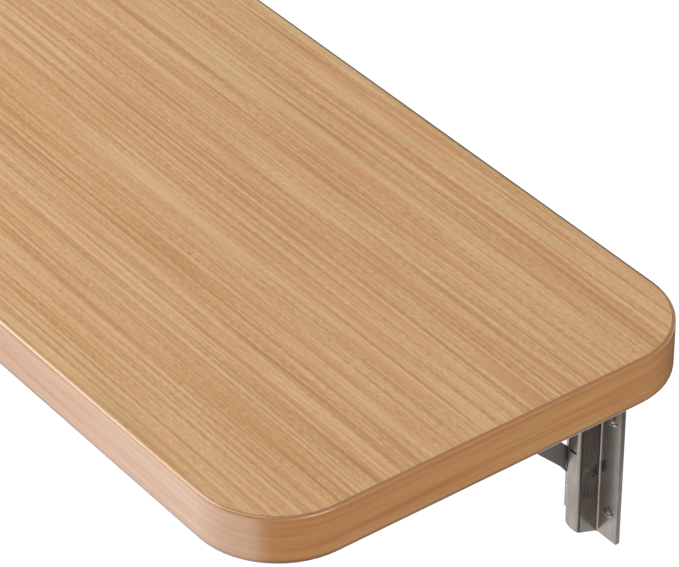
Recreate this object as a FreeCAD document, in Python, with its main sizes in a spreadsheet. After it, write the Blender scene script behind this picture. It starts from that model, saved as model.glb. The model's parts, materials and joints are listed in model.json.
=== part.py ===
"""Wall mounted drop leaf table: a laminated board on two folding steel brackets.

Millimetres, +Z up. The wall is the plane Y = 0 and the room is on its -Y side.
X = 0 is the middle of the board, and Z = 0 is the height of the middle row of wall screws.
The leaf is modelled raised. It drops about the X axis through the two pivot pins.
"""
import FreeCAD, Part
import os

Vector = FreeCAD.Vector
Rotation = FreeCAD.Rotation

# Driving dimensions: name, millimetres, meaning
SIZES = (
    ("board_length", 800, "board, along the wall"),
    ("board_depth", 300, "board, out from the wall"),
    ("board_thickness", 30, "board"),
    ("corner_radius", 50, "board's corners, in plan"),
    ("wall_gap", 1, "board's back edge to the wall"),
    ("laminate", 0.9, "top and bottom sheet"),
    ("band_thickness", 2, "edge band"),
    ("band_arris", 1.6, "rounding of the edge band's two arrises"),
    ("glue_line", 0.1, "edge band to core"),
    ("underside_height", 80, "board's underside above the middle wall screws"),
    ("bracket_inset", 83.5, "board's end to the wall arm's channel"),
    ("channel_width", 12, "wall arm's channel, outside"),
    ("channel_depth", 18, "wall arm's channel, out from the wall"),
    ("channel_sheet", 3, "wall arm's steel sheet"),
    ("nose_bend", 2.6, "outer bends of the channel"),
    ("flange_bend", 1.5, "inner bends from channel to flange"),
    ("row_pitch", 65, "middle wall screws to the lowest ones"),
    ("top_screw_drop", 15, "highest wall screws below the board's underside"),
    ("outer_column", 9.5, "channel to the outer column of wall screws"),
    ("inner_column", 12.5, "channel to the inner column of wall screws"),
    ("flange_margin", 7, "outer wall screw to the flange's side edge"),
    ("inner_margin", 4.5, "inner wall screw to the flange's inner side edge"),
    ("flange_foot", 19.5, "lowest wall screws to the flange's lower end"),
    ("flange_head", 10, "highest wall screws to the flange's upper end"),
    ("foot_rise", 5.4, "rise of the channel's lower end towards its front"),
    ("nose_corner", 7, "rounding of the channel's inner lower corner"),
    ("pivot_out", 12, "leaf pivot and brace rivet, out from the wall"),
    ("pivot_drop", 11, "leaf pivot below the board's underside"),
    ("pin_radius", 3, "leaf pivot pin"),
    ("rivet_radius", 3, "brace rivet"),
    ("running_fit", 0.05, "radial clearance of the turning fits"),
    ("end_play", 0.2, "side clearance of the turning pieces"),
    ("pin_head", 5, "radius of the pivot pin's heads"),
    ("rivet_head", 4.5, "radius of the brace rivet's head"),
    ("head_thickness", 1.5, "heads of pins and rivets"),
    ("slot_width", 3.5, "recess pressed into the channel's outer side"),
    ("slot_length", 9, "the same recess, end to end"),
    ("slot_depth", 1.8, "the same recess, into the sheet"),
    ("slot_out", 6.5, "the same recess's middle, out from the wall"),
    ("slot_below", 5.5, "the same recess's lower end below the brace rivet"),
    ("slit_height", 1.6, "slit across the channel's front"),
    ("slit_rise", 13.2, "the slit's lower edge above the brace rivet"),
    ("arm_sheet", 2, "table arm's steel sheet"),
    ("arm_side", 18, "table arm's sides, down from the board"),
    ("arm_setback", 16, "board's front edge to the table arm's front end"),
    ("arm_nose", 9, "rounding of the table arm's front corners"),
    ("arm_outer_gap", 2.5, "channel to the table arm's outer side"),
    ("arm_inner_gap", 6, "channel to the table arm's inner side"),
    ("arm_heel", 7, "rounding of the table arm's rear end about the pivot"),
    ("brace_thickness", 3, "brace"),
    ("brace_gap", 0.8, "channel to the brace"),
    ("brace_half_width", 6, "brace, half its width"),
    ("brace_eye", 7, "radius of the brace's lower end"),
    ("brace_slope", 1.02, "brace's run over its rise, with the leaf up"),
    ("notch_lift", 2, "track pin above the leaf pivot when it is in the notch"),
    ("notch_depth", 3, "notch, up from the track slot"),
    ("track_pin_radius", 2.5, "track pin"),
    ("track_play", 0.25, "track pin to the track slot, each side"),
    ("track_land", 8, "track slot to the table arm's front end"),
    ("track_pin_recess", 0.5, "track pin's ends short of the table arm's sides"),
    ("washer_radius", 5.6, "washers and spacers"),
    ("screw_radius", 2, "screw shanks"),
    ("screw_hole", 2.25, "screw holes, radius"),
    ("screw_neck", 1.6, "plain neck of the wall screws in the flange, radius"),
    ("screw_tip", 0.25, "blunt end of the screws' points, radius"),
    ("pilot_radius", 1.6, "pilot holes in the board"),
    ("screw_head_radius", 3.8, "screw heads"),
    ("screw_head_height", 2.2, "screw heads"),
    ("screw_point", 5, "tapered end of the screws"),
    ("recess_width", 0.9, "cross recess in the screw heads"),
    ("recess_span", 4.2, "cross recess, end to end"),
    ("recess_depth", 1.4, "cross recess"),
    ("wall_screw_length", 6, "wall screws under the head"),
    ("wall_screw_chamfer", 0.5, "chamfer at the wall screws' ends"),
    ("arm_screw_length", 20, "board screws under the head"),
    ("arm_screw_first", 30, "leaf pivot to the first board screw"),
    ("arm_screw_last", 48, "board's front edge to the last board screw"),
    ("arm_screw_side", 6.5, "board screws, from the channel's outer side"),
    ("cutter_margin", 1, "how far a cutting shape runs past the solid"),
)
ARM_SCREW_COUNT = 4
TOUCH = 1e-6

doc = FreeCAD.newDocument("drop_leaf_table")
dims = doc.addObject("Spreadsheet::Sheet", "dims")
for row, (alias, value, meaning) in enumerate(SIZES, start=1):
    dims.set("A%d" % row, alias)
    dims.set("B%d" % row, str(value))
    dims.set("C%d" % row, meaning)
    dims.setAlias("B%d" % row, alias)
doc.recompute()

# Places that several pieces share, as expressions of the driving dimensions
MARGIN = "dims.cutter_margin"
HALF = "dims.board_length / 2"
UNDER = "dims.underside_height"
TOP = "(dims.underside_height + dims.board_thickness)"
BACK = "(-dims.wall_gap)"
FRONT = "(-dims.wall_gap - dims.board_depth)"
CHANNEL_OUT = "(dims.board_length / 2 - dims.bracket_inset)"
CHANNEL_IN = "(%s - dims.channel_width)" % CHANNEL_OUT
CHANNEL_FRONT = "(-dims.channel_depth)"
OUTER_SCREWS = "(%s + dims.outer_column)" % CHANNEL_OUT
INNER_SCREWS = "(%s - dims.inner_column)" % CHANNEL_IN
TOP_ROW = "(dims.underside_height - dims.top_screw_drop)"
WALL_ROWS = (("low", "-dims.row_pitch"), ("middle", "0"), ("top", TOP_ROW))
WALL = "0"
FOOT = "(-dims.row_pitch - dims.flange_foot)"
FLANGE_TOP = "(%s + dims.flange_head)" % TOP_ROW
PIVOT_Y = "(-dims.pivot_out)"
PIVOT_Z = "(dims.underside_height - dims.pivot_drop)"
EAR = "(dims.channel_depth - dims.pivot_out)"
ARM_OUT = "(%s + dims.arm_outer_gap)" % CHANNEL_OUT
ARM_IN = "(%s - dims.arm_inner_gap)" % CHANNEL_IN
ARM_FRONT = "(%s + dims.arm_setback)" % FRONT
ARM_LIP = "(dims.underside_height - dims.arm_side)"
BRACE_OUT = "(%s - dims.brace_gap)" % CHANNEL_IN
BRACE_IN = "(%s - dims.brace_thickness)" % BRACE_OUT
TRACK_HALF = "(dims.track_pin_radius + dims.track_play)"
TRACK_OFF = "(dims.notch_depth - dims.notch_lift)"
TRACK_END = "(%s + dims.track_land + %s)" % (ARM_FRONT, TRACK_HALF)

# With the leaf down the brace hangs along the track, its pin at the track's front end.
# With the leaf up the same brace leans at its slope, so the track's end settles its rise.
HANG = "(-dims.pivot_out - %s + dims.notch_lift)" % TRACK_END
LEAN = "sqrt(%s ^ 2 + dims.brace_slope ^ 2 * (%s ^ 2 + %s ^ 2))" % (HANG, HANG, TRACK_OFF)
BRACE_RISE = "((%s - %s) / dims.brace_slope ^ 2)" % (LEAN, HANG)
BRACE_RUN = "(dims.brace_slope * %s)" % BRACE_RISE
BRACE_LENGTH = "(%s * sqrt(1 + dims.brace_slope ^ 2))" % BRACE_RISE
NOTCH_Y = "(-dims.pivot_out - %s)" % BRACE_RUN
NOTCH_Z = "(%s + dims.notch_lift)" % PIVOT_Z
TRACK_Z = "(%s - dims.notch_depth)" % NOTCH_Z
RIVET_Z = "(%s - %s)" % (NOTCH_Z, BRACE_RISE)

nodes = []


def bind(obj, **expressions):
    """Tie an object's properties to the sheet. Two underscores stand for a dot."""
    for path, expression in expressions.items():
        obj.setExpression(path.replace("__", "."), expression)
    return obj


def box(name, x, y, z):
    """A block between two limits along each axis."""
    block = doc.addObject("Part::Box", name)
    bind(block, Placement__Base__x=x[0], Placement__Base__y=y[0], Placement__Base__z=z[0])
    bind(block, Length="%s - (%s)" % (x[1], x[0]))
    bind(block, Width="%s - (%s)" % (y[1], y[0]))
    bind(block, Height="%s - (%s)" % (z[1], z[0]))
    return block


def rod_x(name, radius, x, y, z):
    """A cylinder along X between two limits."""
    rod = doc.addObject("Part::Cylinder", name)
    rod.Placement = FreeCAD.Placement(Vector(), Rotation(Vector(0, 1, 0), 90))
    bind(rod, Radius=radius, Height="%s - (%s)" % (x[1], x[0]))
    return bind(rod, Placement__Base__x=x[0], Placement__Base__y=y, Placement__Base__z=z)


def rod_y(name, radius, x, y, z):
    """A cylinder along Y between two limits."""
    rod = doc.addObject("Part::Cylinder", name)
    rod.Placement = FreeCAD.Placement(Vector(), Rotation(Vector(1, 0, 0), -90))
    bind(rod, Radius=radius, Height="%s - (%s)" % (y[1], y[0]))
    return bind(rod, Placement__Base__x=x, Placement__Base__y=y[0], Placement__Base__z=z)


def rod_z(name, radius, x, y, z):
    """A cylinder along Z between two limits."""
    rod = doc.addObject("Part::Cylinder", name)
    bind(rod, Radius=radius, Height="%s - (%s)" % (z[1], z[0]))
    return bind(rod, Placement__Base__x=x, Placement__Base__y=y, Placement__Base__z=z[0])


def fuse(name, shapes):
    """One solid from several that touch."""
    joined = doc.addObject("Part::MultiFuse", name)
    joined.Shapes = shapes
    joined.Refine = True
    return joined


def cut(name, base, tools):
    """The base with every tool taken out of it."""
    remaining = doc.addObject("Part::Cut", name)
    remaining.Base = base
    remaining.Tool = tools[0] if len(tools) == 1 else fuse(name + "_tools", tools)
    remaining.Refine = True
    return remaining


def round_edges(name, base, size, wanted):
    """Round the edges of a base that a test picks, by a size from the sheet."""
    doc.recompute()
    radius = dims.get(size)
    rounded = doc.addObject("Part::Fillet", name)
    rounded.Base = base
    edges = enumerate(base.Shape.Edges, start=1)
    rounded.Edges = [(index, radius, radius) for index, edge in edges if wanted(edge)]
    return rounded


def upright(edge):
    """True for a straight edge along Z."""
    ends = [vertex.Point for vertex in edge.Vertexes]
    return len(ends) == 2 and (ends[1] - ends[0]).cross(Vector(0, 0, 1)).Length < TOUCH


def level(edge):
    """True for an edge that stays at one height."""
    return edge.BoundBox.ZLength < TOUCH


def finish(label, shape):
    """Name a finished piece."""
    shape.Label = label
    nodes.append(shape)
    return shape


# Board


def plan(name, inset, z):
    """A slab with the board's rounded outline, drawn in by an inset."""
    slab = box(
        name + "_block",
        ("(%s - %s)" % (inset, HALF), "%s - (%s)" % (HALF, inset)),
        ("%s + %s" % (FRONT, inset), "%s - (%s)" % (BACK, inset)),
        z,
    )
    doc.recompute()
    rounded = doc.addObject("Part::Fillet", name)
    rounded.Base = slab
    radius = dims.get("corner_radius") - slab.Placement.Base.x - dims.get("board_length") / 2
    edges = enumerate(slab.Shape.Edges, start=1)
    rounded.Edges = [(index, radius, radius) for index, edge in edges if upright(edge)]
    return rounded


def pilot_holes(name, z):
    """Holes in the board for the table arms' screws, under both arms."""
    holes = []
    for side, sign in (("right", ""), ("left", "-")):
        for index in range(ARM_SCREW_COUNT):
            place = "%s(%s - dims.arm_screw_side)" % (sign, CHANNEL_OUT)
            hole = rod_z("%s_%s_%d" % (name, side, index), "dims.pilot_radius", place, arm_screw_y(index), z)
            holes.append(hole)
    return holes


def arm_screw_y(index):
    """How far out a board screw sits."""
    first = "(-dims.pivot_out - dims.arm_screw_first)"
    last = "(%s + dims.arm_screw_last)" % FRONT
    return "%s + %d * (%s - %s) / %d" % (first, index, last, first, ARM_SCREW_COUNT - 1)


def board():
    """Core, two laminate sheets and the edge band round them."""
    inset = "dims.band_thickness + dims.glue_line"
    core_z = ("%s + dims.laminate" % UNDER, "%s - dims.laminate" % TOP)
    tip = "%s + dims.arm_screw_length - dims.arm_sheet" % UNDER
    core = plan("core_slab", inset, core_z)
    finish("tabletop_core", cut("core", core, pilot_holes("core_pilot", (UNDER, tip))))
    finish("top_laminate", plan("top_sheet", inset, (core_z[1], TOP)))
    sheet = plan("bottom_sheet", inset, (UNDER, core_z[0]))
    past = ("%s - %s" % (UNDER, MARGIN), "%s + dims.laminate + %s" % (UNDER, MARGIN))
    finish("bottom_laminate", cut("bottom", sheet, pilot_holes("sheet_pilot", past)))
    outside = plan("band_outside", "0", (UNDER, TOP))
    outside = round_edges("band_rounded", outside, "band_arris", level)
    hollow_z = ("%s - %s" % (UNDER, MARGIN), "%s + %s" % (TOP, MARGIN))
    hollow = plan("band_hollow", "dims.band_thickness", hollow_z)
    finish("edge_band", cut("band", outside, [hollow]))


# Screws


def cross_recess(name, x, y, z, along_y):
    """Two crossed slots, cut in from a screw head's crown."""
    bars = []
    for index, (wide, tall) in enumerate((("span", "width"), ("width", "span"))):
        across = ("%s - dims.recess_%s / 2" % (x, wide), "%s + dims.recess_%s / 2" % (x, wide))
        other = z if along_y else y
        upward = ("%s - dims.recess_%s / 2" % (other, tall), "%s + dims.recess_%s / 2" % (other, tall))
        depth = y if along_y else z
        in_y, in_z = (depth, upward) if along_y else (upward, depth)
        bars.append(box("%s_bar_%d" % (name, index), across, in_y, in_z))
    return bars


def screw_head(name):
    """A domed head of the screws' own radius and height, its flat side at the local origin."""
    dome = doc.addObject("Part::Sphere", name)
    crown = "(dims.screw_head_radius ^ 2 + dims.screw_head_height ^ 2) / (2 * dims.screw_head_height)"
    lift = "(dims.screw_head_radius ^ 2 - dims.screw_head_height ^ 2)"
    whole = "(dims.screw_head_radius ^ 2 + dims.screw_head_height ^ 2)"
    bind(dome, Radius=crown, Angle1="asin(%s / %s)" % (lift, whole))
    return dome, "%s / (2 * dims.screw_head_height)" % lift


def wall_screw(name, x, z):
    """One machine screw through the flange: head to the room, end in the wall."""
    seat = "(-dims.channel_sheet)"
    end = "(-dims.channel_sheet + dims.wall_screw_length)"
    taper = "(%s - dims.wall_screw_chamfer)" % end
    neck = rod_y(name + "_neck", "dims.screw_neck", x, (seat, WALL), z)
    shank = rod_y(name + "_shank", "dims.screw_radius", x, (WALL, taper), z)
    point = doc.addObject("Part::Cone", name + "_point")
    point.Placement = FreeCAD.Placement(Vector(), Rotation(Vector(1, 0, 0), -90))
    bind(point, Radius1="dims.screw_radius", Radius2="dims.screw_radius - dims.wall_screw_chamfer")
    bind(point, Height="dims.wall_screw_chamfer")
    bind(point, Placement__Base__x=x, Placement__Base__y=taper, Placement__Base__z=z)
    dome, sink = screw_head(name + "_head")
    dome.Placement = FreeCAD.Placement(Vector(), Rotation(Vector(1, 0, 0), 90))
    bind(dome, Placement__Base__x=x, Placement__Base__y="%s + %s" % (seat, sink), Placement__Base__z=z)
    crown = "%s - dims.screw_head_height" % seat
    recess_y = ("%s - %s" % (crown, MARGIN), "%s + dims.recess_depth" % crown)
    whole = fuse(name + "_whole", [neck, shank, point, dome])
    return cut(name, whole, cross_recess(name + "_recess", x, recess_y, z, True))


def arm_screw(name, x, y):
    """One screw up through the table arm into the board."""
    seat = "(%s - dims.arm_sheet)" % UNDER
    end = "(%s + dims.arm_screw_length)" % seat
    taper = "(%s - dims.screw_point)" % end
    shank = rod_z(name + "_shank", "dims.screw_radius", x, y, (seat, taper))
    point = doc.addObject("Part::Cone", name + "_point")
    bind(point, Radius1="dims.screw_radius", Radius2="dims.screw_tip", Height="dims.screw_point")
    bind(point, Placement__Base__x=x, Placement__Base__y=y, Placement__Base__z=taper)
    dome, sink = screw_head(name + "_head")
    dome.Placement = FreeCAD.Placement(Vector(), Rotation(Vector(1, 0, 0), 180))
    bind(dome, Placement__Base__x=x, Placement__Base__y=y, Placement__Base__z="%s + %s" % (seat, sink))
    crown = "%s - dims.screw_head_height" % seat
    recess_z = ("%s - %s" % (crown, MARGIN), "%s + dims.recess_depth" % crown)
    whole = fuse(name + "_whole", [shank, point, dome])
    return cut(name, whole, cross_recess(name + "_recess", x, y, recess_z, False))


# Right bracket


def wall_arm():
    """A hat section: a channel that stands out from the wall, with a screw flange each side."""
    flange_x = ("%s - dims.inner_margin" % INNER_SCREWS, "%s + dims.flange_margin" % OUTER_SCREWS)
    flange_z = (FOOT, FLANGE_TOP)
    flange = box("arm_flange", flange_x, ("-dims.channel_sheet", "0"), flange_z)
    crest = "%s + %s" % (PIVOT_Z, EAR)
    nose = box("arm_channel", (CHANNEL_IN, CHANNEL_OUT), (CHANNEL_FRONT, "0"), (FOOT, crest))
    nose = round_edges("arm_nose_bends", nose, "nose_bend", nose_bend)
    hat = round_edges("arm_bends", fuse("arm_hat", [flange, nose]), "flange_bend", flange_bend)
    return finish("right_wall_arm", cut("arm", hat, wall_arm_cuts(crest)))


def nose_bend(edge):
    """The channel's two front edges."""
    return upright(edge) and abs(edge.BoundBox.YMin + dims.get("channel_depth")) < TOUCH


def flange_bend(edge):
    """The two inner corners between channel and flange, as far up as both run."""
    at_flange = abs(edge.BoundBox.YMin + dims.get("channel_sheet")) < TOUCH
    middle = dims.get("board_length") / 2 - dims.get("bracket_inset") - dims.get("channel_width") / 2
    off = abs(edge.BoundBox.XMin - middle) - dims.get("channel_width") / 2
    return upright(edge) and at_flange and abs(off) < TOUCH


def wall_arm_cuts(crest):
    """All that is taken out of the hat section."""
    inside = ("%s + dims.channel_sheet" % CHANNEL_IN, "%s - dims.channel_sheet" % CHANNEL_OUT)
    web_back = "%s + dims.channel_sheet" % CHANNEL_FRONT
    below = "%s - %s" % (FOOT, MARGIN)
    above = "%s + dims.pivot_drop" % FLANGE_TOP
    hollow = box("arm_hollow", inside, (web_back, MARGIN), (below, above))
    beside = ("%s - %s" % (CHANNEL_IN, MARGIN), "%s + %s" % (CHANNEL_OUT, MARGIN))
    ahead = "%s - %s" % (CHANNEL_FRONT, MARGIN)
    corner = box("arm_crown_block", beside, (ahead, PIVOT_Y), (PIVOT_Z, "%s + %s" % (crest, MARGIN)))
    crown = cut("arm_crown", corner, [rod_x("arm_crown_round", EAR, beside, PIVOT_Y, PIVOT_Z)])
    foot = doc.addObject("Part::Box", "arm_foot")
    foot.Placement = FreeCAD.Placement(Vector(), Rotation(Vector(-1, 0, 0), 20))
    run = "(dims.channel_depth - dims.channel_sheet)"
    bind(foot, Length="dims.channel_width + 2 * %s" % MARGIN, Width="2 * dims.channel_depth")
    bind(foot, Height="2 * dims.foot_rise", Placement__Rotation__Angle="atan(dims.foot_rise / %s)" % run)
    slant = "sqrt(dims.foot_rise ^ 2 + %s ^ 2)" % run
    reach = "(2 * dims.channel_depth - %s)" % slant
    bind(foot, Placement__Base__x="%s - %s" % (CHANNEL_IN, MARGIN))
    sine = "(dims.foot_rise / %s)" % slant
    cosine = "(%s / %s)" % (run, slant)
    start_y = "%s - %s * %s - 2 * dims.foot_rise * %s" % (CHANNEL_FRONT, reach, cosine, sine)
    start_z = "%s + dims.foot_rise + %s * %s - 2 * dims.foot_rise * %s" % (FOOT, reach, sine, cosine)
    bind(foot, Placement__Base__y=start_y, Placement__Base__z=start_z)
    keep_flange = box(
        "arm_flange_guard",
        ("%s - 2 * %s" % (CHANNEL_IN, MARGIN), "%s + 2 * %s" % (CHANNEL_OUT, MARGIN)),
        ("-dims.channel_sheet", "2 * dims.channel_depth"),
        ("%s - 4 * dims.channel_depth" % FOOT, "%s + dims.channel_depth" % FOOT),
    )
    foot = cut("arm_foot_slant", foot, [keep_flange])
    turn_x = "%s + dims.nose_corner" % CHANNEL_IN
    turn_z = "%s + dims.foot_rise + dims.nose_corner" % FOOT
    nose_y = (ahead, "-dims.channel_sheet")
    block = box("arm_corner_block", (beside[0], turn_x), nose_y, (below, turn_z))
    rounding = rod_y("arm_corner_round", "dims.nose_corner", turn_x, nose_y, turn_z)
    nose_corner = cut("arm_corner", block, [rounding])
    holes = []
    for column, x in (("outer", OUTER_SCREWS), ("inner", INNER_SCREWS)):
        for row, z in WALL_ROWS:
            through = ("-dims.channel_sheet - %s" % MARGIN, MARGIN)
            name = "arm_hole_%s_%s" % (column, row)
            holes.append(rod_y(name, "dims.screw_hole", x, through, z))
    pivot = rod_x("arm_pivot_hole", "dims.pin_radius + dims.running_fit", beside, PIVOT_Y, PIVOT_Z)
    rivet = rod_x("arm_rivet_hole", "dims.rivet_radius + dims.running_fit", beside, PIVOT_Y, RIVET_Z)
    slot_x = ("%s - dims.slot_depth" % CHANNEL_OUT, beside[1])
    slot_y = ("-dims.slot_out - dims.slot_width / 2", "-dims.slot_out + dims.slot_width / 2")
    slot_low = "(%s - dims.slot_below + dims.slot_width / 2)" % RIVET_Z
    slot_high = "(%s + dims.slot_length - dims.slot_width)" % slot_low
    slot = [box("arm_slot", slot_x, slot_y, (slot_low, slot_high))]
    for end, z in (("low", slot_low), ("high", slot_high)):
        slot.append(rod_x("arm_slot_" + end, "dims.slot_width / 2", slot_x, "-dims.slot_out", z))
    sill = "%s + dims.slit_rise" % RIVET_Z
    slit = box("arm_slit", inside, (ahead, web_back), (sill, "%s + dims.slit_height" % sill))
    return [hollow, crown, foot, nose_corner, pivot, rivet, slit] + holes + slot


def wall_screws():
    """Six screws, three down each flange."""
    screws = []
    for column, x in (("outer", OUTER_SCREWS), ("inner", INNER_SCREWS)):
        for row, z in WALL_ROWS:
            name = "wall_screw_%s_%s" % (column, row)
            screws.append(wall_screw(name, x, z))
    group = doc.addObject("Part::Compound", "wall_screw_group")
    group.Links = screws
    finish("right_wall_screws", group)


def pivot_pieces():
    """The leaf's pivot pin, with the spacer and the washer that centre the table arm on it."""
    sides = ("%s - dims.arm_sheet - dims.end_play" % ARM_IN, "%s + dims.arm_sheet + dims.end_play" % ARM_OUT)
    pin = rod_x("pivot_shank", "dims.pin_radius", sides, PIVOT_Y, PIVOT_Z)
    low = ("%s - dims.head_thickness" % sides[0], sides[0])
    high = (sides[1], "%s + dims.head_thickness" % sides[1])
    heads = [rod_x("pivot_head_in", "dims.pin_head", low, PIVOT_Y, PIVOT_Z)]
    heads.append(rod_x("pivot_head_out", "dims.pin_head", high, PIVOT_Y, PIVOT_Z))
    finish("right_leaf_pivot_pin", fuse("pivot_pin", [pin] + heads))
    spacer_x = ("%s + dims.end_play" % ARM_IN, CHANNEL_IN)
    finish("right_pivot_spacer", ring("pivot_spacer", "dims.pin_radius", spacer_x, PIVOT_Z))
    washer_x = (CHANNEL_OUT, "%s - dims.end_play" % ARM_OUT)
    finish("right_pivot_washer", ring("pivot_washer", "dims.pin_radius", washer_x, PIVOT_Z))


def ring(name, hole, x, z):
    """A washer or spacer round a pin along X."""
    disc = rod_x(name + "_disc", "dims.washer_radius", x, PIVOT_Y, z)
    past = ("%s - %s" % (x[0], MARGIN), "%s + %s" % (x[1], MARGIN))
    return cut(name, disc, [rod_x(name + "_hole", "%s + dims.running_fit" % hole, past, PIVOT_Y, z)])


def table_arm():
    """A channel, open downwards, under the board. It straddles the wall arm when the leaf hangs."""
    outer_x = ("%s - dims.arm_sheet" % ARM_IN, "%s + dims.arm_sheet" % ARM_OUT)
    heel = "(-dims.pivot_out + dims.arm_heel)"
    solid = box("table_arm_block", outer_x, (ARM_FRONT, heel), (ARM_LIP, UNDER))
    past_x = ("%s - %s" % (outer_x[0], MARGIN), "%s + %s" % (outer_x[1], MARGIN))
    ends = ("%s - %s" % (ARM_FRONT, MARGIN), "%s + %s" % (heel, MARGIN))
    lowest = "%s - %s" % (ARM_LIP, MARGIN)
    hollow = box("table_arm_hollow", (ARM_IN, ARM_OUT), ends, (lowest, "%s - dims.arm_sheet" % UNDER))
    heel_low = "(%s - dims.arm_heel - dims.arm_side)" % PIVOT_Z
    block = box("table_arm_heel_block", past_x, (PIVOT_Y, ends[1]), (heel_low, PIVOT_Z))
    rounding = rod_x("table_arm_heel_round", "dims.arm_heel", past_x, PIVOT_Y, PIVOT_Z)
    heel_cut = cut("table_arm_heel", block, [rounding])
    nose_y = "(%s + dims.arm_nose)" % ARM_FRONT
    nose_z = "(%s + dims.arm_nose)" % ARM_LIP
    block = box("table_arm_nose_block", past_x, (ends[0], nose_y), (lowest, nose_z))
    rounding = rod_x("table_arm_nose_round", "dims.arm_nose", past_x, nose_y, nose_z)
    nose_cut = cut("table_arm_nose", block, [rounding])
    pivot = rod_x("table_arm_pivot", "dims.pin_radius + dims.running_fit", past_x, PIVOT_Y, PIVOT_Z)
    holes = []
    for index in range(ARM_SCREW_COUNT):
        web = ("%s - 2 * dims.arm_sheet" % UNDER, "%s + %s" % (UNDER, MARGIN))
        place = "%s - dims.arm_screw_side" % CHANNEL_OUT
        name = "table_arm_hole_%d" % index
        holes.append(rod_z(name, "dims.screw_hole", place, arm_screw_y(index), web))
    cuts = [hollow, heel_cut, nose_cut, pivot] + holes + track(past_x)
    finish("right_table_arm", cut("table_arm", solid, cuts))


def track(past_x):
    """The slot in both sides of the table arm, with the notch that holds the track pin."""
    notch_y = ("%s - %s" % (NOTCH_Y, TRACK_HALF), "%s + %s" % (NOTCH_Y, TRACK_HALF))
    slot_z = ("%s - %s" % (TRACK_Z, TRACK_HALF), "%s + %s" % (TRACK_Z, TRACK_HALF))
    return [
        box("track_run", past_x, (TRACK_END, NOTCH_Y), slot_z),
        box("track_notch", past_x, notch_y, (TRACK_Z, NOTCH_Z)),
        rod_x("track_notch_end", TRACK_HALF, past_x, NOTCH_Y, NOTCH_Z),
        rod_x("track_rear_end", TRACK_HALF, past_x, NOTCH_Y, TRACK_Z),
        rod_x("track_front_end", TRACK_HALF, past_x, TRACK_END, TRACK_Z),
    ]


def arm_screws():
    """The screws that hold the table arm to the board."""
    group = doc.addObject("Part::Compound", "arm_screw_group")
    place = "(%s - dims.arm_screw_side)" % CHANNEL_OUT
    count = range(ARM_SCREW_COUNT)
    group.Links = [arm_screw("arm_screw_%d" % index, place, arm_screw_y(index)) for index in count]
    finish("right_arm_screws", group)


def brace():
    """A flat bar from the wall arm's rivet up to the track pin, with a rounded end at each."""
    bar = doc.addObject("Part::Box", "brace_bar")
    bar.Placement = FreeCAD.Placement(Vector(), Rotation(Vector(1, 0, 0), 40))
    bind(bar, Length="dims.brace_thickness", Width="2 * dims.brace_half_width", Height=BRACE_LENGTH)
    bind(bar, Placement__Rotation__Angle="atan(dims.brace_slope)")
    bind(bar, Placement__Base__x=BRACE_IN)
    across = "dims.brace_half_width * %s / %s" % (BRACE_RISE, BRACE_LENGTH)
    downward = "dims.brace_half_width * %s / %s" % (BRACE_RUN, BRACE_LENGTH)
    bind(bar, Placement__Base__y="%s - %s" % (PIVOT_Y, across))
    bind(bar, Placement__Base__z="%s - %s" % (RIVET_Z, downward))
    span = (BRACE_IN, BRACE_OUT)
    eye = rod_x("brace_lower_eye", "dims.brace_eye", span, PIVOT_Y, RIVET_Z)
    end = rod_x("brace_upper_end", "dims.brace_half_width", span, NOTCH_Y, NOTCH_Z)
    past = ("%s - %s" % (BRACE_IN, MARGIN), "%s + %s" % (BRACE_OUT, MARGIN))
    low = rod_x("brace_rivet_hole", "dims.rivet_radius + dims.running_fit", past, PIVOT_Y, RIVET_Z)
    high = rod_x("brace_pin_hole", "dims.track_pin_radius + dims.running_fit", past, NOTCH_Y, NOTCH_Z)
    finish("right_brace", cut("brace", fuse("brace_blank", [bar, eye, end]), [low, high]))


def brace_pieces():
    """The rivet and washer that the brace turns on, and the track pin at its upper end."""
    sides = ("%s - dims.end_play" % BRACE_IN, CHANNEL_OUT)
    shank = rod_x("rivet_shank", "dims.rivet_radius", sides, PIVOT_Y, RIVET_Z)
    low = ("%s - dims.head_thickness" % sides[0], sides[0])
    head = rod_x("rivet_head_in", "dims.rivet_head", low, PIVOT_Y, RIVET_Z)
    finish("right_brace_rivet", fuse("rivet", [shank, head]))
    washer_x = ("%s + dims.end_play" % BRACE_OUT, CHANNEL_IN)
    finish("right_brace_washer", ring("brace_washer", "dims.rivet_radius", washer_x, RIVET_Z))
    pin_x = ("%s + dims.track_pin_recess" % ARM_IN, "%s - dims.track_pin_recess" % ARM_OUT)
    finish("right_track_pin", rod_x("track_pin", "dims.track_pin_radius", pin_x, NOTCH_Y, NOTCH_Z))


def left_bracket():
    """The right bracket's pieces, mirrored about the middle of the board."""
    for piece in [node for node in nodes if node.Label.startswith("right_")]:
        twin = doc.addObject("Part::Mirroring", "mirrored_" + piece.Name)
        twin.Source = piece
        twin.Base = Vector(0, 0, 0)
        twin.Normal = Vector(1, 0, 0)
        finish(piece.Label.replace("right_", "left_"), twin)


def write_parts():
    """Check every object, then write one file for each piece."""
    doc.recompute()
    for item in doc.Objects:
        if "Invalid" in item.State or "Error" in item.State:
            raise RuntimeError("%s failed to build: %s" % (item.Name, item.State))
    for piece in nodes:
        if piece.Shape.isNull() or not piece.Shape.isValid() or not piece.Shape.Solids:
            raise RuntimeError("%s has no valid solid" % piece.Label)
    os.makedirs("parts", exist_ok=True)
    for piece in nodes:
        piece.Shape.exportStep("parts/%s.step" % piece.Label)
        print("%-22s %2d solids %12.1f mm3" % (piece.Label, len(piece.Shape.Solids), piece.Shape.Volume))


board()
wall_arm()
wall_screws()
pivot_pieces()
table_arm()
arm_screws()
brace()
brace_pieces()
left_bracket()
write_parts()
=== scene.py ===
"""Wall mounted drop leaf table: an oak laminate leaf on two folding satin steel brackets.

Metres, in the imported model's frame: the wall is the plane Y = 0, the room lies towards -Y and Z points up.
"""
import json
import math

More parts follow.
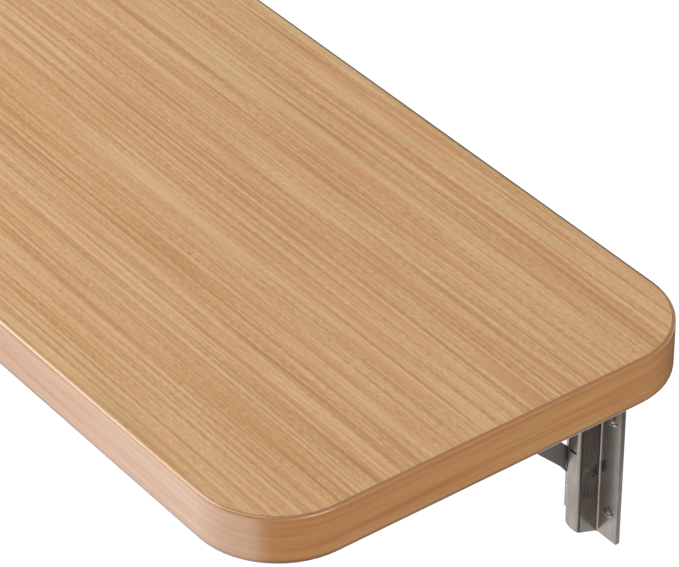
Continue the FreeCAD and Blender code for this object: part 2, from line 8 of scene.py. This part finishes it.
import bmesh
import bpy
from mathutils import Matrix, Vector

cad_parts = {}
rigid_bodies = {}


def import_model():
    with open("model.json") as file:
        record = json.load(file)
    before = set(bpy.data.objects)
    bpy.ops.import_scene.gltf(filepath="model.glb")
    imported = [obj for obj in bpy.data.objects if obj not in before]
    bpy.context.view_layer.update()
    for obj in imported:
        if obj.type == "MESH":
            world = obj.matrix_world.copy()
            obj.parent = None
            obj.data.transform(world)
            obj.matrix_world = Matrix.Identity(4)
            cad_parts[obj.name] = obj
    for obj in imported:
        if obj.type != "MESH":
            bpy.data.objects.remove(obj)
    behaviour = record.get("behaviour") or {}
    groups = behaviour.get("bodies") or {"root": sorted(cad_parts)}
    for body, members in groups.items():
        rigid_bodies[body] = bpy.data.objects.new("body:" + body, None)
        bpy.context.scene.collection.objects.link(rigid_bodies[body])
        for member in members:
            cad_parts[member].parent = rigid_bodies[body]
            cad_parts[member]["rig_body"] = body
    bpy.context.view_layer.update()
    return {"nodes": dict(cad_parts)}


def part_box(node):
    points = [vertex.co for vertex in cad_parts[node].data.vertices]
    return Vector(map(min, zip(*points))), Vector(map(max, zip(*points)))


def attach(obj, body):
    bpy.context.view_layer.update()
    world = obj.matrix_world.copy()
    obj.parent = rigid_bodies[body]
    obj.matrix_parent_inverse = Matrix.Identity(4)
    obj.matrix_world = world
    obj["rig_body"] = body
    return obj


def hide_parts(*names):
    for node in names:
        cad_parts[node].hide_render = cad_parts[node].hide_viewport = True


MM = 0.001
FULL_TURN = 2 * math.pi
SIDES = ("right", "left")
OUTWARD = {"right": 1, "left": -1}

# Wall screws: their places on the right bracket, then one screw's own sizes
SCREW_COLUMNS = (326 * MM, 292 * MM)
SCREW_ROWS = (-65 * MM, 0, 65 * MM)
SCREW_SEAT = -3 * MM
SCREW_END = 3 * MM
SCREW_CHAMFER = 0.5 * MM
SCREW_CORE = 1.6 * MM
SCREW_CREST = 1.99 * MM
SCREW_PITCH = 0.7 * MM
SHANK_START = SCREW_SEAT + 0.05 * MM
HEAD_CUT = SCREW_SEAT + 0.1 * MM
STEPS_A_TURN = 24

# One turn of the thread: radius, and the share of the pitch at which it lies
THREAD_PROFILE = (
    (SCREW_CORE, 0.0),
    (SCREW_CORE, 0.12),
    (SCREW_CREST, 0.5),
    (SCREW_CREST, 0.62),
    (SCREW_CORE, 1.0),
)

# Pins and rivets
PIN_RADIUS = 3 * MM
PIN_HEAD = 5 * MM
RIVET_HEAD = 4.5 * MM
TRACK_PIN_RADIUS = 2.5 * MM
HEAD_THICKNESS = 1.5 * MM
HEAD_EASE = 0.15 * MM
FLUSH_EASE = 0.12 * MM
PIN_STEPS = 40

# Pieces of a bracket that keep their packed form with eased edges: width of the easing, and finish
EASED_PIECES = {
    "wall_arm": (0.35 * MM, "upright"),
    "table_arm": (0.3 * MM, "level"),
    "brace": (0.35 * MM, "sloping"),
    "arm_screws": (0.12 * MM, "screws"),
    "pivot_spacer": (0.15 * MM, "washers"),
    "pivot_washer": (0.15 * MM, "washers"),
    "brace_washer": (0.15 * MM, "washers"),
}
EASING_STEPS = 2

# How far apart points still count as one, and which angles count as flat or sharp
PACKED_WELD = 0.002 * MM
PIN_WELD = 0.004 * MM
THREAD_WELD = 0.01 * MM
FLAT_ANGLE = math.radians(0.3)
SHARP_ANGLE = math.radians(38)

# Zones of the edge band, each from where it starts to where it is full: the upper arris, the lower arris
# painted in shade, the front where the upper arris is painted as a highlight, and the dark line at the wall
UPPER_ARRIS = (108.6 * MM, 109.8 * MM)
SHADED_LOWER_ARRIS = (83.4 * MM, 81.4 * MM)
FRONT_HIGHLIGHT_DEPTHS = (-297 * MM, -299.6 * MM)
BACK_LINE_DEPTHS = (-3.0 * MM, -2.7 * MM)

# Noise: its middle value
NOISE_MIDDLE = 0.5

# Satin steel: brush marks' cells a metre across and along the sheet, and its roughness, bright or dull
BRUSH_ACROSS = 1500
BRUSH_ALONG = 45
BRIGHT_SATIN = (0.34, 0.21)
DULL_SATIN = (0.62, 0.5)

# Stage
AIR_STRENGTH = 0.42
FLOOR_GLOW = 0.97
FLOOR_Z = -0.67
FLOOR_REACH = 12
FLAG_FOOT = -0.66

# Low dark flags: the two ends in plan, and the top
FLAGS = {
    "right_flag": ((0.9, -1.2), (0.9, 0.9), -0.17),
    "back_flag": ((0.9, 0.7), (-1.0, 0.7), -0.3),
}

# Soft lights: place, aim, size and watts
SOFTBOXES = {
    "key": ((-0.5, -0.75, 2.1), (0.1, -0.15, 0.08), (1.6, 1.6), 21.5),
    "right_fill": ((1.9, -0.1, 0.55), (0.4, -0.15, 0.1), (0.9, 0.9), 9.5),
    "front_window": ((-0.95, -1.1, 0.65), (0.1, -0.3, 0.1), (0.7, 0.6), 10),
    "corner_strip": ((0.18, -0.75, -0.36), (0.28, -0.3, 0.09), (0.92, 0.32), 0.48),
}

# Camera: film width and focal length in millimetres, place, and angles in degrees
FILM_WIDTH = 36
FOCAL_LENGTH = 211.57
CAMERA_PLACE = (1.6296, -1.1813, 1.3680)
CAMERA_DIP = 36.021
CAMERA_HEADING = 52.863

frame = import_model()
nodes = frame["nodes"]


def tone(red, green, blue):
    """A colour given as it looks on a screen, 0 to 255, as linear light."""
    linear = []
    for value in (red / 255, green / 255, blue / 255):
        linear.append(value / 12.92 if value <= 0.04045 else ((value + 0.055) / 1.055) ** 2.4)
    return (*linear, 1)


class Finish:
    """One finish of the table: a material and the nodes that give it its figure."""

    def __init__(self, name, **sockets):
        self.material = bpy.data.materials.new(name)
        self.material.use_nodes = True
        self.nodes = self.material.node_tree.nodes
        self.links = self.material.node_tree.links
        self.shader = self.nodes["Principled BSDF"]
        self.place = self.nodes.new("ShaderNodeTexCoord").outputs["Object"]
        self.fill(self.shader, sockets)

    def join(self, source, socket):
        """Link a source to a socket, or set the socket where the source is a plain value."""
        if isinstance(source, bpy.types.NodeSocket):
            self.links.new(source, socket)
        else:
            socket.default_value = source

    def fill(self, node, sockets):
        """Join several sockets of a node, an underscore standing for a space in a socket's name."""
        for socket, source in sockets.items():
            self.join(source, node.inputs[socket.replace("_", " ")])

    def added(self, kind, **sockets):
        """A new node with its sockets joined."""
        node = self.nodes.new(kind)
        self.fill(node, sockets)
        return node

    def stretched(self, scale, shift=(0, 0, 0), turn=(0, 0, 0), source=None):
        """The piece's own coordinates, stretched so that one noise cell is 1 / scale metres."""
        vector = source or self.place
        node = self.added("ShaderNodeMapping", Vector=vector, Scale=scale, Location=shift, Rotation=turn)
        return node.outputs["Vector"]

    def noise(self, vector, detail=2.0, roughness=0.5):
        node = self.added("ShaderNodeTexNoise", Vector=vector, Scale=1, Detail=detail, Roughness=roughness)
        return node.outputs["Fac"]

    def chips(self, vector):
        """Pressed chips: each one's own tint, and the distance from its middle."""
        node = self.added("ShaderNodeTexVoronoi", Vector=vector, Scale=1)
        return node.outputs["Color"], node.outputs["Distance"]

    def combined(self, first, how, second):
        """Two values worked together: MULTIPLY, ADD or SUBTRACT."""
        node = self.nodes.new("ShaderNodeMath")
        node.operation = how
        self.join(first, node.inputs[0])
        self.join(second, node.inputs[1])
        return node.outputs["Value"]

    def weighed(self, *parts):
        """The middle value plus each noise's swing about it, times its weight."""
        total = NOISE_MIDDLE - sum(weight * NOISE_MIDDLE for _, weight in parts)
        for source, weight in parts:
            total = self.combined(self.combined(source, "MULTIPLY", weight), "ADD", total)
        return total

    def ramp(self, factor, *stops):
        """Colours along a factor, each stop a position and a colour."""
        node = self.added("ShaderNodeValToRGB", Fac=factor)
        band = node.color_ramp
        while len(band.elements) < len(stops):
            band.elements.new(0.5)
        for element, (position, colour) in zip(band.elements, stops):
            element.position = position
            element.color = colour
        return node.outputs["Color"]

    def levels(self, factor, low, high, to_low=0.0, to_high=1.0):
        """A factor's range from low to high, spread over another range and clamped to it."""
        limits = {"From_Min": low, "From_Max": high, "To_Min": to_low, "To_Max": to_high}
        return self.added("ShaderNodeMapRange", Value=factor, **limits).outputs["Result"]

    def mixed(self, factor, first, second, how="MIX"):
        node = self.nodes.new("ShaderNodeMix")
        node.data_type = "RGBA"
        node.blend_type = how
        self.fill(node, {"Factor": factor, "A": first, "B": second})
        return node.outputs["Result"]

    def wander(self, scale, reach, axis, shift=(0, 0, 0)):
        """The piece's coordinates, pushed to and fro along one axis so that the grain wanders."""
        drift = self.combined(self.noise(self.stretched(scale, shift), 1.0), "SUBTRACT", NOISE_MIDDLE)
        push = self.added("ShaderNodeCombineXYZ", **{axis: self.combined(drift, "MULTIPLY", 2 * reach)})
        moved = self.nodes.new("ShaderNodeVectorMath")
        moved.operation = "ADD"
        self.join(self.place, moved.inputs[0])
        self.join(push.outputs["Vector"], moved.inputs[1])
        return moved.outputs["Vector"]

    def axes(self):
        """The piece's own coordinates as three values, by axis."""
        return self.added("ShaderNodeSeparateXYZ", Vector=self.place).outputs

    def colour(self, source):
        self.links.new(source, self.shader.inputs["Base Color"])

    def roughness(self, source):
        self.links.new(source, self.shader.inputs["Roughness"])

    def relief(self, height, strength, depth):
        node = self.added("ShaderNodeBump", Height=height, Strength=strength, Distance=depth)
        self.links.new(node.outputs["Normal"], self.shader.inputs["Normal"])


def oak_laminate():
    """Straight-grained light oak print along the wall: a quiet ground with groups of brown lines."""
    finish = Finish("oak_laminate", Specular_IOR_Level=0.35)
    grain = finish.wander((1.3, 5, 1), 12 * MM, "Y")

    def figure(along, across, shift, detail=1.0):
        """A noise drawn out along the board, in cells a metre along and across the grain."""
        return finish.noise(finish.stretched((along, across, 1), (*shift, 0), source=grain), detail)

    bands = figure(0.9, 42, (3.1, 0.4))
    streaks = figure(5, 430, (1.7, 5.2), 0.0)
    fine = figure(30, 900, (8.4, 2.9))
    pores = figure(240, 850, (0.6, 7.7))
    ground = finish.ramp(
        finish.weighed((bands, 0.35), (streaks, 1.1), (fine, 0.45), (pores, 0.95)),
        (0.1, tone(185, 137, 87)),
        (0.5, tone(205, 162, 115)),
        (0.9, tone(217, 181, 139)),
    )
    lines = finish.levels(figure(8, 480, (7.3, 3.6), 0.0), 0.5, 0.74, 0, 0.8)
    groups = finish.levels(figure(2.4, 40, (6.6, 1.3)), 0.4, 0.6, 0.25, 1.0)
    lined = finish.mixed(finish.combined(lines, "MULTIPLY", groups), ground, tone(178, 129, 81))
    ribbons = finish.levels(figure(1.4, 185, (5.5, 6.4)), 0.58, 0.7, 0, 0.75)
    ribboned = finish.mixed(ribbons, lined, tone(209, 181, 132))
    blush = finish.levels(figure(8, 210, (4.2, 9.1)), 0.5, 0.7, 0, 0.6)
    finish.colour(finish.mixed(blush, ribboned, tone(205, 149, 104)))
    finish.roughness(finish.levels(fine, 0.3, 0.7, 0.52, 0.42))
    finish.relief(finish.weighed((fine, 0.6), (pores, 0.6)), 0.12, 0.15 * MM)
    return finish.material


def oak_edge():
    """Glossier edge band: a warmer oak print, with a painted highlight along the front of the upper arris,
    painted shade on the rest of the upper arris and on the lower arris, and a dark line along the upper
    arris at the wall.
    """
    finish = Finish("oak_edge", Specular_IOR_Level=0.4, Coat_Weight=1.0, Coat_Roughness=0.21, Coat_IOR=1.75)
    grain = finish.wander((7, 7, 20), 3 * MM, "Z", (2.2, 0.3, 1.4))

    def figure(along, across, shift, detail=1.0):
        """A noise drawn out round the band, in cells a metre along and across the grain."""
        return finish.noise(finish.stretched((along, along, across), shift, source=grain), detail)

    bands = figure(3, 110, (0.3, 5.5, 2.2))
    streaks = figure(11, 420, (6.1, 1.2, 4.7), 2.0)
    fine = figure(30, 1500, (2.8, 8.3, 0.9))
    body = finish.ramp(
        finish.weighed((bands, 0.8), (streaks, 0.6), (fine, 0.25)),
        (0.1, tone(163, 88, 38)),
        (0.36, tone(181, 114, 59)),
        (0.52, tone(187, 129, 73)),
        (0.7, tone(193, 144, 89)),
        (0.92, tone(203, 160, 107)),
    )
    axes = finish.axes()
    upper = finish.levels(axes["Z"], *UPPER_ARRIS)
    lower = finish.levels(axes["Z"], *SHADED_LOWER_ARRIS)
    # Painted highlight and shade on the upper arris: pale along the front, darker brown everywhere behind it
    arris_highlight_and_shade = finish.mixed(finish.levels(axes["Y"], *FRONT_HIGHLIGHT_DEPTHS), tone(166, 112, 60), tone(212, 171, 127))
    # Painted shade: the lower arris darker brown all round
    shaded_below = finish.mixed(lower, finish.mixed(upper, body, arris_highlight_and_shade), tone(118, 74, 44))
    # A dark line along the upper arris at the wall
    back_line = finish.combined(finish.levels(axes["Y"], *BACK_LINE_DEPTHS), "MULTIPLY", upper)
    finish.colour(finish.mixed(back_line, shaded_below, tone(62, 54, 48)))
    finish.roughness(finish.levels(streaks, 0.3, 0.7, 0.5, 0.38))
    finish.relief(finish.weighed((fine, 0.5), (streaks, 0.3)), 0.08, 0.1 * MM)
    return finish.material


def core_board():
    """Pressed wood chips, where a screw hole bares them."""
    finish = Finish("core_board", Specular_IOR_Level=0.2)
    tint, edge = finish.chips(finish.stretched((420, 420, 700)))
    chip = finish.ramp(
        finish.noise(finish.stretched((900, 300, 900)), 3.0),
        (0.25, tone(142, 104, 66)),
        (0.5, tone(178, 140, 96)),
        (0.8, tone(212, 180, 134)),
    )
    finish.colour(finish.mixed(0.35, chip, tint, "SOFT_LIGHT"))
    finish.roughness(finish.levels(edge, 0.0, 0.6, 0.75, 0.95))
    finish.relief(edge, 0.4, 0.3 * MM)
    return finish.material


def satin_steel(name, scale, turn=(0, 0, 0), rough=BRIGHT_SATIN):
    """Stainless sheet with a satin finish brushed along its length."""
    finish = Finish(name, Metallic=1.0, Anisotropic=0.35)
    brush = finish.noise(finish.stretched(scale, turn=turn), 2.0, 0.6)
    cloud = finish.noise(finish.stretched((38, 38, 38), (4, 1, 7)), 3.0)
    figure = finish.weighed((brush, 0.8), (cloud, 0.5))
    shades = finish.ramp(
        figure,
        (0.15, tone(120, 112, 105)),
        (0.5, tone(152, 144, 138)),
        (0.85, tone(182, 175, 170)),
    )
    finish.colour(shades)
    finish.roughness(finish.levels(figure, 0.2, 0.8, *rough))
    finish.relief(brush, 0.08, 0.05 * MM)
    return finish.material


def screw_steel():
    """Bright plating, its tone and roughness varying a little in soft clouds."""
    finish = Finish("screw_steel", Metallic=1.0)
    cloud = finish.noise(finish.stretched((520, 520, 520)), 3.0, 0.6)
    shades = finish.ramp(
        cloud,
        (0.25, tone(96, 91, 87)),
        (0.5, tone(138, 133, 129)),
        (0.75, tone(176, 172, 168)),
    )
    finish.colour(shades)
    finish.roughness(finish.levels(cloud, 0.3, 0.7, 0.32, 0.18))
    finish.relief(cloud, 0.08, 0.05 * MM)
    return finish.material


def turned_steel(name, dark, light, rough):
    """Steel turned on a lathe: faint rings round the X axis of each pin or washer."""
    finish = Finish(name, Metallic=1.0)
    rings = finish.noise(finish.stretched((3200, 160, 160)), 2.0)
    cloud = finish.noise(finish.stretched((180, 180, 180), (3, 8, 2)), 2.0)
    figure = finish.weighed((rings, 0.7), (cloud, 0.6))
    finish.colour(finish.ramp(figure, (0.2, dark), (0.8, light)))
    finish.roughness(finish.levels(figure, 0.2, 0.8, rough + 0.08, rough - 0.06))
    finish.relief(rings, 0.1, 0.04 * MM)
    return finish.material


def merged_copy(node):
    """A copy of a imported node, its loose triangles joined and its flat faces whole."""
    form = bmesh.new()
    form.from_mesh(nodes[node].data)
    bmesh.ops.remove_doubles(form, verts=form.verts, dist=PACKED_WELD)
    bmesh.ops.dissolve_limit(form, angle_limit=FLAT_ANGLE, verts=form.verts, edges=form.edges)
    return form


def seat(form, name, node, material):
    """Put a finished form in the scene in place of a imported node, on the node's own body."""
    mesh = bpy.data.meshes.new(name)
    form.to_mesh(mesh)
    form.free()
    mesh.materials.append(material)
    for face in mesh.polygons:
        face.use_smooth = True
    mesh.set_sharp_from_angle(angle=SHARP_ANGLE)
    piece = bpy.data.objects.new(name, mesh)
    bpy.context.scene.collection.objects.link(piece)
    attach(piece, nodes[node]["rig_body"])
    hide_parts(node)
    return piece


def eased(node, name, width, material):
    """A sheet or turned piece with its sharp edges eased, as deburred steel has them."""
    piece = seat(merged_copy(node), name, node, material)
    easing = piece.modifiers.new("eased_edges", "BEVEL")
    easing.width = width
    easing.segments = EASING_STEPS
    easing.limit_method = "ANGLE"
    easing.angle_limit = SHARP_ANGLE
    flats = piece.modifiers.new("flat_faces", "WEIGHTED_NORMAL")
    flats.keep_sharp = True


def cut_off(form, height, normal):
    """Cut a form square to the Y axis, take away what lies past the cut, and give back the cut edges."""
    cut = bmesh.ops.bisect_plane(
        form,
        geom=form.verts[:] + form.edges[:] + form.faces[:],
        plane_co=(0, height, 0),
        plane_no=(0, normal, 0),
        clear_outer=True,
    )
    return [item for item in cut["geom_cut"] if isinstance(item, bmesh.types.BMEdge)]


def threaded_shank():
    """One screw's shank on the Y axis: a thread swept up from its profile, chamfered at the end."""
    form = bmesh.new()
    turns = math.ceil((SCREW_END - SCREW_SEAT) / SCREW_PITCH)
    profile = [(radius, SCREW_SEAT + share * SCREW_PITCH, 0) for radius, share in THREAD_PROFILE]
    points = [form.verts.new(point) for point in profile]
    edges = [form.edges.new(pair) for pair in zip(points, points[1:])]
    bmesh.ops.spin(
        form,
        geom=points + edges,
        cent=(0, SCREW_SEAT, 0),
        axis=(0, 1, 0),
        dvec=(0, SCREW_PITCH / STEPS_A_TURN, 0),
        angle=FULL_TURN * turns,
        steps=STEPS_A_TURN * turns,
        use_merge=False,
        use_duplicate=False,
    )
    bmesh.ops.remove_doubles(form, verts=form.verts, dist=THREAD_WELD)
    for height, normal in ((SCREW_END, 1), (SHANK_START, -1)):
        rim = cut_off(form, height, normal)
        bmesh.ops.contextual_create(form, geom=rim)
    for vert in form.verts:
        past = vert.co.y - (SCREW_END - SCREW_CHAMFER)
        if past > 0:
            radius = math.hypot(vert.co.x, vert.co.z)
            limit = SCREW_CREST - past
            if radius > limit:
                vert.co.x *= limit / radius
                vert.co.z *= limit / radius
    bmesh.ops.recalc_face_normals(form, faces=form.faces)
    mesh = bpy.data.meshes.new("threaded_shank")
    form.to_mesh(mesh)
    form.free()
    return mesh


def wall_screws(side, shank, material):
    """Six wall screws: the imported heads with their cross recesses, on threaded shanks."""
    node = side + "_wall_screws"
    form = merged_copy(node)
    cut_off(form, HEAD_CUT, 1)
    for column in SCREW_COLUMNS:
        for row in SCREW_ROWS:
            before = set(form.verts)
            form.from_mesh(shank)
            fresh = [vert for vert in form.verts if vert not in before]
            bmesh.ops.translate(form, verts=fresh, vec=(OUTWARD[side] * column, 0, row))
    seat(form, side + "_threaded_wall_screws", node, material)


def turned_pin(side, part, name, near, far, material):
    """A pin turned about the X axis, each end's outline given as (depth from that end, radius) points."""
    low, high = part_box("right_" + part)
    centre = (low + high) / 2
    profile = [(low.x + depth, radius) for depth, radius in near]
    profile += [(high.x - depth, radius) for depth, radius in reversed(far)]
    form = bmesh.new()
    points = [form.verts.new((OUTWARD[side] * x, centre.y, centre.z + radius)) for x, radius in profile]
    edges = [form.edges.new(pair) for pair in zip(points, points[1:])]
    bmesh.ops.spin(
        form,
        geom=points + edges,
        cent=(0, centre.y, centre.z),
        axis=(1, 0, 0),
        angle=FULL_TURN,
        steps=PIN_STEPS,
        use_merge=True,
        use_duplicate=False,
    )
    bmesh.ops.remove_doubles(form, verts=form.verts, dist=PIN_WELD)
    bmesh.ops.recalc_face_normals(form, faces=form.faces)
    seat(form, side + "_" + name, side + "_" + part, material)


def headed_end(shank, head):
    """One end of a pin: a slightly domed head with a dimple in it."""
    return (
        (0.35 * MM, 0.0),
        (0.3 * MM, 0.5 * MM),
        (0.02 * MM, 0.95 * MM),
        (0.0, 1.3 * MM),
        (0.1 * MM, 0.55 * head),
        (0.32 * MM, 0.82 * head),
        (0.62 * MM, 0.95 * head),
        (1.0 * MM, head),
        (HEAD_THICKNESS - HEAD_EASE, head),
        (HEAD_THICKNESS, head - HEAD_EASE),
        (HEAD_THICKNESS, shank),
    )


def flush_end(shank):
    """One end of a pin: set flush, with a small chamfer and a punched centre."""
    return ((0.1 * MM, 0.0), (0.0, 0.5 * MM), (0.0, shank - FLUSH_EASE), (FLUSH_EASE, shank))


def brace_lean():
    """The brace's angle from upright, from its rivet to its track pin."""
    rivet, pin = (sum(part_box(node), Vector()) / 2 for node in ("right_brace_rivet", "right_track_pin"))
    return math.atan2(rivet.y - pin.y, pin.z - rivet.z)


def bracket(side, shank, finishes):
    """All the steel of one folding bracket."""
    for part, (width, finish) in EASED_PIECES.items():
        eased(side + "_" + part, side + "_eased_" + part, width, finishes[finish])
    wall_screws(side, shank, finishes["screws"])
    head = headed_end(PIN_RADIUS, PIN_HEAD)
    turned_pin(side, "leaf_pivot_pin", "turned_pivot_pin", head, head, finishes["pins"])
    head = headed_end(PIN_RADIUS, RIVET_HEAD)
    turned_pin(side, "brace_rivet", "turned_brace_rivet", head, flush_end(PIN_RADIUS), finishes["rivets"])
    end = flush_end(TRACK_PIN_RADIUS)
    turned_pin(side, "track_pin", "turned_track_pin", end, end, finishes["pins"])


def dress(node, material):
    """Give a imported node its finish."""
    slots = nodes[node].data.materials
    for index in range(len(slots)):
        slots[index] = material


def table():
    """The board in its packed form, and both brackets."""
    laminate = oak_laminate()
    dress("top_laminate", laminate)
    dress("bottom_laminate", laminate)
    dress("edge_band", oak_edge())
    dress("tabletop_core", core_board())
    upright = (BRUSH_ACROSS, BRUSH_ACROSS, BRUSH_ALONG)
    level = (BRUSH_ACROSS, BRUSH_ALONG, BRUSH_ACROSS)
    finishes = {
        "upright": satin_steel("satin_steel_upright", upright),
        "level": satin_steel("satin_steel_level", level),
        "sloping": satin_steel("satin_steel_sloping", upright, (brace_lean(), 0, 0), DULL_SATIN),
        "screws": screw_steel(),
        "rivets": turned_steel("turned_rivet_steel", tone(128, 121, 115), tone(178, 172, 166), 0.3),
        "pins": turned_steel("turned_pin_steel", tone(172, 168, 163), tone(222, 219, 215), 0.26),
        "washers": turned_steel("washer_steel", tone(160, 155, 150), tone(212, 208, 204), 0.34),
    }
    shank = threaded_shank()
    for side in SIDES:
        bracket(side, shank, finishes)
    bpy.data.meshes.remove(shank)


def panel(name, corners, material):
    """A flat stage panel through four corners."""
    form = bmesh.new()
    form.faces.new([form.verts.new(corner) for corner in corners])
    mesh = bpy.data.meshes.new(name)
    form.to_mesh(mesh)
    form.free()
    mesh.materials.append(material)
    piece = bpy.data.objects.new(name, mesh)
    bpy.context.scene.collection.objects.link(piece)
    return piece


def standing_panel(name, start, end, foot, top, material):
    """An upright stage panel between two points in plan. It casts no shadow."""
    piece = panel(name, ((*start, foot), (*end, foot), (*end, top), (*start, top)), material)
    piece.visible_shadow = False
    return piece


def softbox(name, place, aim, size, watts):
    """A soft rectangular light aimed at a point."""
    light = bpy.data.lights.new(name, "AREA")
    light.shape = "RECTANGLE"
    light.size, light.size_y = size
    light.energy = watts
    lamp = bpy.data.objects.new(name, light)
    lamp.location = place
    lamp.rotation_euler = (Vector(aim) - Vector(place)).to_track_quat("-Z", "Y").to_euler()
    lamp.visible_camera = False
    bpy.context.scene.collection.objects.link(lamp)


def studio():
    """A pale floor and backdrop, low dark flags to the right and behind the wall, and soft lights."""
    scene = bpy.context.scene
    scene.view_settings.view_transform = "Standard"
    white = (1, 1, 1, 1)
    scene.world = bpy.data.worlds.new("studio_air")
    scene.world.use_nodes = True
    air = scene.world.node_tree.nodes["Background"]
    air.inputs["Color"].default_value = white
    air.inputs["Strength"].default_value = AIR_STRENGTH
    pale = Finish(
        "pale_floor",
        Base_Color=(0.2, 0.2, 0.2, 1),
        Roughness=0.9,
        Specular_IOR_Level=0.1,
        Emission_Color=white,
        Emission_Strength=FLOOR_GLOW,
    )
    rim = [(x * FLOOR_REACH, y * FLOOR_REACH) for x, y in ((-1, -1), (1, -1), (1, 1), (-1, 1))]
    panel("floor", [(*corner, FLOOR_Z) for corner in rim], pale.material)
    for index, corner in enumerate(rim):
        name = "backdrop_" + str(index)
        backdrop = standing_panel(name, rim[index - 1], corner, FLOOR_Z, FLOOR_REACH, pale.material)
        backdrop.visible_diffuse = False
        backdrop.visible_glossy = False
    dark = Finish("dark_flag", Base_Color=(0.01, 0.009, 0.008, 1), Roughness=1.0, Specular_IOR_Level=0.0)
    for name, (start, end, top) in FLAGS.items():
        flag = standing_panel(name, start, end, FLAG_FOOT, top, dark.material)
        flag.visible_camera = False
    for name, light in SOFTBOXES.items():
        softbox(name, *light)


def camera():
    """The photograph's viewpoint, on the photograph's frame."""
    lens = bpy.data.cameras.new("photo_camera")
    lens.sensor_width = FILM_WIDTH
    lens.sensor_fit = "HORIZONTAL"
    lens.lens = FOCAL_LENGTH
    eye = bpy.data.objects.new("photo_camera", lens)
    eye.location = CAMERA_PLACE
    eye.rotation_euler = (math.radians(90 - CAMERA_DIP), 0, math.radians(CAMERA_HEADING))
    bpy.context.scene.collection.objects.link(eye)
    bpy.context.scene.camera = eye


table()
studio()
camera()
bpy.context.view_layer.update()
